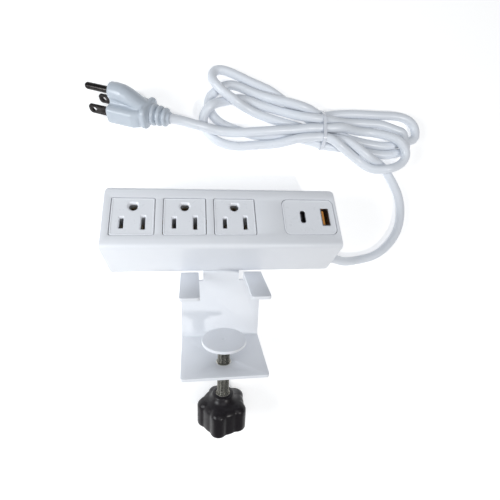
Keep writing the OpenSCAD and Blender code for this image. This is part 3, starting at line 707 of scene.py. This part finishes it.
near, far = blade("near", BLADE_GAP / 2), blade("far", -BLADE_GAP / 2)
bm = bmesh.new()
bm.from_mesh(near.data)
bm.from_mesh(far.data)
both = bpy.data.meshes.new("prongs")
bm.to_mesh(both)
bm.free()
for o in (near, far):
    bpy.data.objects.remove(o)
prongs = bpy.data.objects.new("prongs", both)
bpy.context.scene.collection.objects.link(prongs)
settle_in(prongs, PLUG, BLADE, "strip", ("plug_blades",), 30)
PIN_R = 2.3
pin = [(0, -6), (PIN_R, -6), (PIN_R, PIN_LEN - PIN_R)] + arc(0, PIN_LEN - PIN_R, PIN_R, 10, 90, 7)
verts, faces = lathe(pin, 40)
piece("ground_prong", [(z, x, y + PIN_Z) for x, y, z in verts], faces, PLUG, BLADE, "strip",
      ("plug_ground_pin",), "blade_metal", 50)

# ---------------------------------------------------------------- cord bushing and tie
gland = ([(3.32, -5.5), (4.25, -5.5), (4.25, 0.0), (4.8, 0.0), (4.8, 0.9)]
         + arc(4.2, 0.9, 0.6, 0, 90, 4) + [(3.32, 1.5)])
rings = [[(z + BODY_LEN / 2, 6 + r * math.cos(2 * math.pi * k / 48),
           6 + r * math.sin(2 * math.pi * k / 48)) for k in range(48)] for r, z in gland]
piece("cord_gland", *loft(rings, cyclic=True), BODY, PVC, "strip", ("cord_bushing",),
      "white_pvc", 40)


def hull_2d(points):
    """The convex outline of points, anticlockwise."""
    points = sorted(set((round(a, 4), round(b, 4)) for a, b in points))

    def half(seq):
        out = []
        for q in seq:
            while len(out) > 1 and ((out[-1][0] - out[-2][0]) * (q[1] - out[-2][1])
                                    - (out[-1][1] - out[-2][1]) * (q[0] - out[-2][0])) <= 0:
                out.pop()
            out.append(q)
        return out[:-1]
    return half(points) + half(points[::-1])


BUNDLE_FROM_Y = 100
crossings = [(float(b[1]), float(b[2])) for a, b in zip(line[:-1], line[1:])
             if (a[0] - TIE_X) * (b[0] - TIE_X) <= 0 and b[1] > BUNDLE_FROM_Y]
TIE_W, TIE_T = 2.2, 0.3
band = []
for grow in (0.15, 0.15 + TIE_T):
    ring = hull_2d([(y + (CORD_D / 2 + grow) * math.cos(math.radians(10 * k)),
                     z + (CORD_D / 2 + grow) * math.sin(math.radians(10 * k)))
                    for y, z in crossings for k in range(36)])
    band.append([(y, max(z, 0.02 if grow > 0.3 else 0.12)) for y, z in ring])


def even(outline, n=120):
    """The same closed outline with n evenly spaced points."""
    p = np.array(outline + outline[:1])
    run = np.concatenate([[0], np.cumsum(np.linalg.norm(np.diff(p, axis=0), axis=1))])
    at = np.linspace(0, run[-1], n, endpoint=False)
    return list(zip(np.interp(at, run, p[:, 0]), np.interp(at, run, p[:, 1])))


inner, outer = (even(b) for b in band)
verts = [(TIE_X + side * TIE_W / 2, y, z) for path, side in
         ((inner, -1), (outer, -1), (outer, 1), (inner, 1)) for y, z in path]
n = len(inner)
faces = [(r * n + k, r * n + (k + 1) % n, ((r + 1) % 4) * n + (k + 1) % n, ((r + 1) % 4) * n + k)
         for r in range(4) for k in range(n)]
piece("tie_band", verts, faces, TABLE, FILM, "strip", ("cord_tie",), "clear_tie", 40)

# ---------------------------------------------------------------- carried-over CAD nodes
for node, finish in (("cover_screws", ZINC), ("bracket_screws", ZINC), ("line_busbar", BRASS),
                     ("neutral_busbar", BRASS), ("ground_busbar", BRASS), ("usb_a_shell", PORT),
                     ("usb_c_shell", PORT), ("usb_a_tongue", AMBER), ("usb_c_tongue", BLACK),
                     ("charger_board", BOARD), ("charger_transformer", TAPE),
                     ("charger_capacitors", CAN), ("outlet_base_1", INNER),
                     ("outlet_base_2", INNER), ("outlet_base_3", INNER),
                     ("line_wire", WIRES["line"]), ("neutral_wire", WIRES["neutral"]),
                     ("ground_wire", WIRES["ground"])):
    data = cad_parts[node].data
    if data.materials:
        for k in range(len(data.materials)):
            data.materials[k] = finish
    else:
        data.materials.append(finish)

# ---------------------------------------------------------------- floor, light
half = 1.6
bpy.ops.mesh.primitive_grid_add(x_subdivisions=4, y_subdivisions=4, size=2 * half)
floor = bpy.context.object
floor.name = "floor"
FLOOR = material("floor_pale", (0.90, 0.90, 0.90), 0.75, tint=(0.885, 0.885, 0.89), spots=6,
                 grain=400, bump=0.02, specular=0.2)
glow = FLOOR.node_tree.nodes["Principled BSDF"]
glow.inputs["Emission Color"].default_value = (1, 1, 1, 1)
glow.inputs["Emission Strength"].default_value = 0.38
floor.data.materials.append(FLOOR)
floor.location.z = -0.0002

bpy.context.scene.view_settings.view_transform = "Standard"
bpy.context.scene.view_settings.look = "None"
world = bpy.data.worlds.new("studio")
bpy.context.scene.world = world
world.use_nodes = True
world.node_tree.nodes["Background"].inputs["Color"].default_value = (0.93, 0.96, 1.0, 1)
world.node_tree.nodes["Background"].inputs["Strength"].default_value = 0.28


def area(name, toward, far, target, size, power, colour=(1, 1, 1)):
    """A lamp that is `far` metres from the target, in the direction `toward` from it."""
    where = Vector(target) + Vector(toward).normalized() * far
    lamp = bpy.data.lights.new(name, "AREA")
    lamp.shape, lamp.size, lamp.size_y = "RECTANGLE", size[0], size[1]
    lamp.energy, lamp.color = power, colour
    o = bpy.data.objects.new(name, lamp)
    o.location = where
    o.rotation_euler = (Vector(target) - where).to_track_quat("-Z", "Y").to_euler()
    bpy.context.scene.collection.objects.link(o)


area("key", (0.426, -0.361, 0.827), 1.2, (0, 0, 0), (0.09, 0.09), 3.8, (1, 0.98, 0.95))
area("top", (0.0, 0.02, 1.0), 0.8, (0, 0.03, 0), (0.5, 0.5), 1.0, (0.95, 0.97, 1))
area("left", (-0.40, -0.04, 0.30), 0.46, (-0.02, 0.03, 0.02), (0.22, 0.22), 1.35, (0.95, 0.98, 1))
